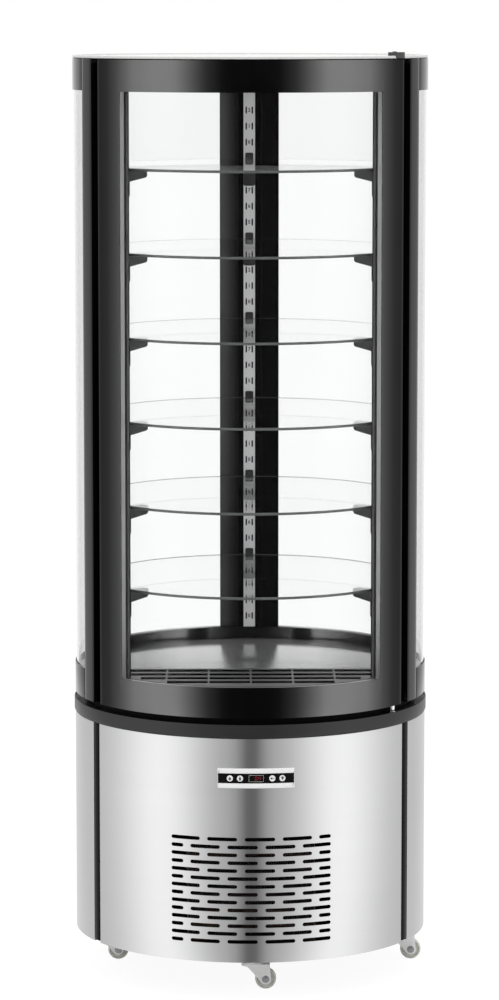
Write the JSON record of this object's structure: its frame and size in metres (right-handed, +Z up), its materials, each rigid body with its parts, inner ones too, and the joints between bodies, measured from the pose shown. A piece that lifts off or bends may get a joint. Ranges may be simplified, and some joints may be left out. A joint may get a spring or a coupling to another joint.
{
  "type": "round refrigerated cake display case",
  "caption": "Round glazed refrigerated cake display case on casters, with a hinged curved door, glass shelves and a vented steel base with its controller.",
  "frame": {"origin": "on the case's own vertical axis, at the floor that the wheels stand on", "axes": "+Z up; -Y towards the door and the controller; +X towards the door's hinge side"},
  "size_m": [0.684, 0.6853, 1.7736],
  "materials": {
    "black_coat": "gloss",
    "black_gloss": "gloss",
    "black_matt": "matt",
    "steel": "brushed",
    "roof_steel": "satin white",
    "zinc": "zinc plated",
    "wheel_nylon": "satin",
    "clear_glass": "clear",
    "spacer": "satin",
    "seal": "matt",
    "light_plastic": "satin",
    "window_black": "gloss",
    "diffuser": "satin",
    "white_plastic": "satin",
    "fins": "satin",
    "can": "black paint",
    "foam": "satin"
  },
  "bodies": {
    "root": {"base_frame": "black_coat", "chassis": "black_coat", "base_front_panel": "steel", "base_left_panel": "steel", "base_right_panel": "steel", "belt_ring": "black_gloss", "control_bezel": "light_plastic", "control_window": "window_black", "compressor": "can", "condenser": "fins", "condenser_shroud": "black_matt", "cabin_floor": "foam", "evaporator_coil": "fins", "power_inlet": "black_matt", "lower_ring": "black_gloss", "upper_ring": "black_gloss", "ceiling_panel": "white_plastic", "top_cover": "roof_steel", "front_post_left": "black_coat", "front_post_right": "black_coat", "light_strip_left": "diffuser", "light_strip_right": "diffuser", "rear_column": "black_coat", "rack_strip": "roof_steel", "side_glass_left_outer": "clear_glass", "side_glass_left_inner": "clear_glass", "side_glass_left_spacer": "spacer", "side_glass_right_outer": "clear_glass", "side_glass_right_inner": "clear_glass", "side_glass_right_spacer": "spacer", "deck_plate": "steel", "deck_grille": "steel", "shelf_1": "clear_glass", "shelf_2": "clear_glass", "shelf_3": "clear_glass", "shelf_4": "clear_glass", "shelf_5": "clear_glass", "shelf_6": "clear_glass", "door_hinge_top": "black_coat", "door_hinge_bottom": "zinc"},
    "door": {"door_frame": "black_coat", "door_liner": "black_matt", "door_glass_outer": "clear_glass", "door_glass_inner": "clear_glass", "door_glass_spacer": "spacer", "door_gasket": "seal"},
    "fork_front": {"caster_fork_front": "zinc"},
    "fork_rear": {"caster_fork_rear": "zinc"},
    "fork_left": {"caster_fork_left": "zinc"},
    "fork_right": {"caster_fork_right": "zinc"},
    "wheel_front": {"caster_wheel_front": "wheel_nylon"},
    "wheel_rear": {"caster_wheel_rear": "wheel_nylon"},
    "wheel_left": {"caster_wheel_left": "wheel_nylon"},
    "wheel_right": {"caster_wheel_right": "wheel_nylon"},
    "fan_condenser": {"condenser_fan": "black_matt"},
    "fan_evaporator": {"evaporator_fan": "black_matt"},
    "key_up": {"button_up": "light_plastic"},
    "key_light": {"button_light": "light_plastic"},
    "key_set": {"button_set": "light_plastic"},
    "key_down": {"button_down": "light_plastic"}
  },
  "joints": [
    {"name": "door_hinge", "type": "hinge", "parent": "root", "child": "door", "pos_m": [0.26801, -0.18699, 1.1495], "axis": [0, 0, 1], "range_deg": [0, 105]},
    {"name": "swivel_front", "type": "hinge", "parent": "root", "child": "fork_front", "pos_m": [0, -0.235, 0.0485], "axis": [0, 0, 1], "continuous": true},
    {"name": "swivel_rear", "type": "hinge", "parent": "root", "child": "fork_rear", "pos_m": [0, 0.235, 0.0485], "axis": [0, 0, 1], "continuous": true},
    {"name": "swivel_left", "type": "hinge", "parent": "root", "child": "fork_left", "pos_m": [-0.287, 0, 0.0485], "axis": [0, 0, 1], "continuous": true},
    {"name": "swivel_right", "type": "hinge", "parent": "root", "child": "fork_right", "pos_m": [0.287, 0, 0.0485], "axis": [0, 0, 1], "continuous": true},
    {"name": "roll_front", "type": "hinge", "parent": "fork_front", "child": "wheel_front", "pos_m": [0.028, -0.235, 0.02], "axis": [0, 1, 0], "continuous": true},
    {"name": "roll_rear", "type": "hinge", "parent": "fork_rear", "child": "wheel_rear", "pos_m": [0.028, 0.235, 0.02], "axis": [0, 1, 0], "continuous": true},
    {"name": "roll_left", "type": "hinge", "parent": "fork_left", "child": "wheel_left", "pos_m": [-0.259, 0, 0.02], "axis": [0, 1, 0], "continuous": true},
    {"name": "roll_right", "type": "hinge", "parent": "fork_right", "child": "wheel_right", "pos_m": [0.315, 0, 0.02], "axis": [0, 1, 0], "continuous": true},
    {"name": "condenser_fan_spin", "type": "hinge", "parent": "root", "child": "fan_condenser", "pos_m": [0, -0.2287, 0.1883], "axis": [0, 1, 0], "continuous": true},
    {"name": "evaporator_fan_spin", "type": "hinge", "parent": "root", "child": "fan_evaporator", "pos_m": [0, 0.022, 0.4704], "axis": [0, 1, 0], "continuous": true},
    {"name": "press_up", "type": "slide", "parent": "root", "child": "key_up", "axis": [0.1168, 0.9932, 0], "range_m": [0, 0.001], "stiffness_N_per_m": 300, "springref_m": -0.0005},
    {"name": "press_light", "type": "slide", "parent": "root", "child": "key_light", "axis": [0.0617, 0.9981, 0], "range_m": [0, 0.001], "stiffness_N_per_m": 300, "springref_m": -0.0005},
    {"name": "press_set", "type": "slide", "parent": "root", "child": "key_set", "axis": [-0.1145, 0.9934, 0], "range_m": [0, 0.001], "stiffness_N_per_m": 300, "springref_m": -0.0005},
    {"name": "press_down", "type": "slide", "parent": "root", "child": "key_down", "axis": [-0.1692, 0.9856, 0], "range_m": [0, 0.001], "stiffness_N_per_m": 300, "springref_m": -0.0005}
  ]
}
